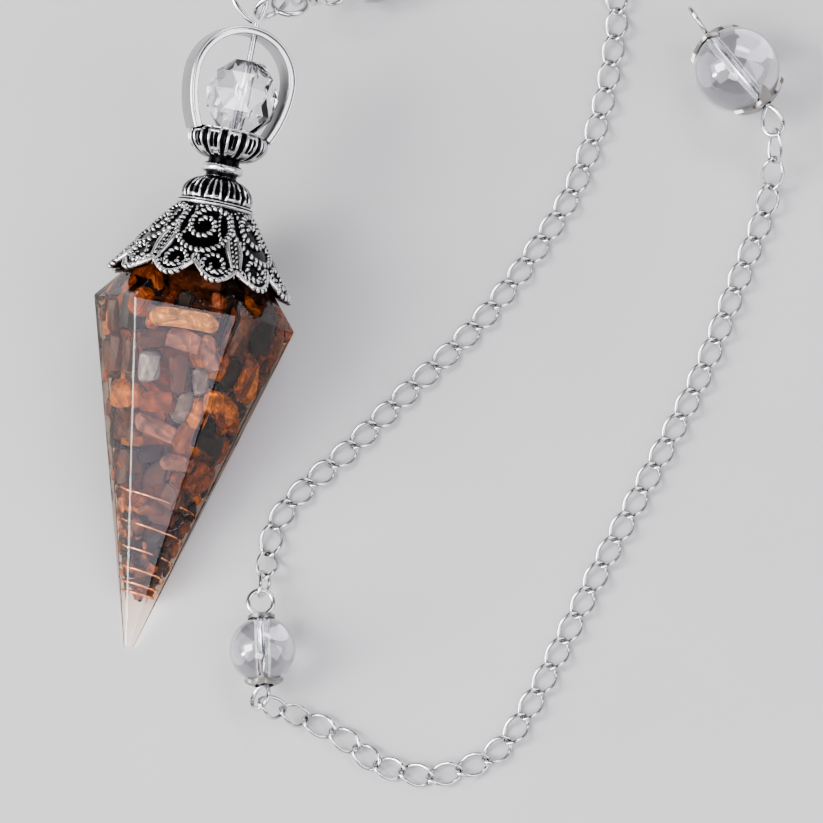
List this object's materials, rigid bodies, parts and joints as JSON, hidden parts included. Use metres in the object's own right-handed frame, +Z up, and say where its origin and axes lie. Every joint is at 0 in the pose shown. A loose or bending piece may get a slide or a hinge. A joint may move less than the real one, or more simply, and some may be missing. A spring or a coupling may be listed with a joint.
{
  "type": "pendulum pendant",
  "caption": "Hexagonal clear resin pendulum with cast-in stone chips and a copper coil, an antique-silver filigree cap with a ring and faceted bead, and a curb chain with clear round beads.",
  "frame": {"origin": "on the table, under the middle of the facet that the resin point lies on", "axes": "+Z up from the table, +Y along the lying pendulum from its tip towards its cap, +X to the side that the chain lies on"},
  "size_m": [0.0598, 0.0847, 0.0168],
  "materials": {
    "clear_resin": "clear cast resin with polished flat facets",
    "stone": "brown, orange and grey stone chips",
    "copper": "bright bare copper wire",
    "antique_silver": "cast antique silver, bright on the raised work and black in the recesses",
    "bead_glass": "clear polished crystal",
    "silver_wire": "polished silver-plated wire",
    "silver_chain": "polished silver-plated links",
    "silver_cap": "stamped silver-plated sheet, a little darkened"
  },
  "bodies": {
    "root": {"resin_point": "clear_resin", "stone_chips": "stone", "copper_coil": "copper", "cap": "antique_silver", "faceted_bead": "bead_glass", "hanging_pin": "silver_wire", "jump_ring_upper": "silver_wire", "jump_ring_lower": "silver_wire", "drop_links": "silver_chain", "upper_bead": "bead_glass", "upper_cap_in": "silver_cap", "upper_cap_out": "silver_cap", "upper_pin": "silver_wire", "chain_left": "silver_chain", "mid_bead": "bead_glass", "mid_cap_in": "silver_cap", "mid_cap_out": "silver_cap", "mid_pin": "silver_wire", "chain_right": "silver_chain", "end_bead": "bead_glass", "end_cap_in": "silver_cap", "end_cap_out": "silver_cap", "end_pin": "silver_wire"}
  },
  "joints": []
}
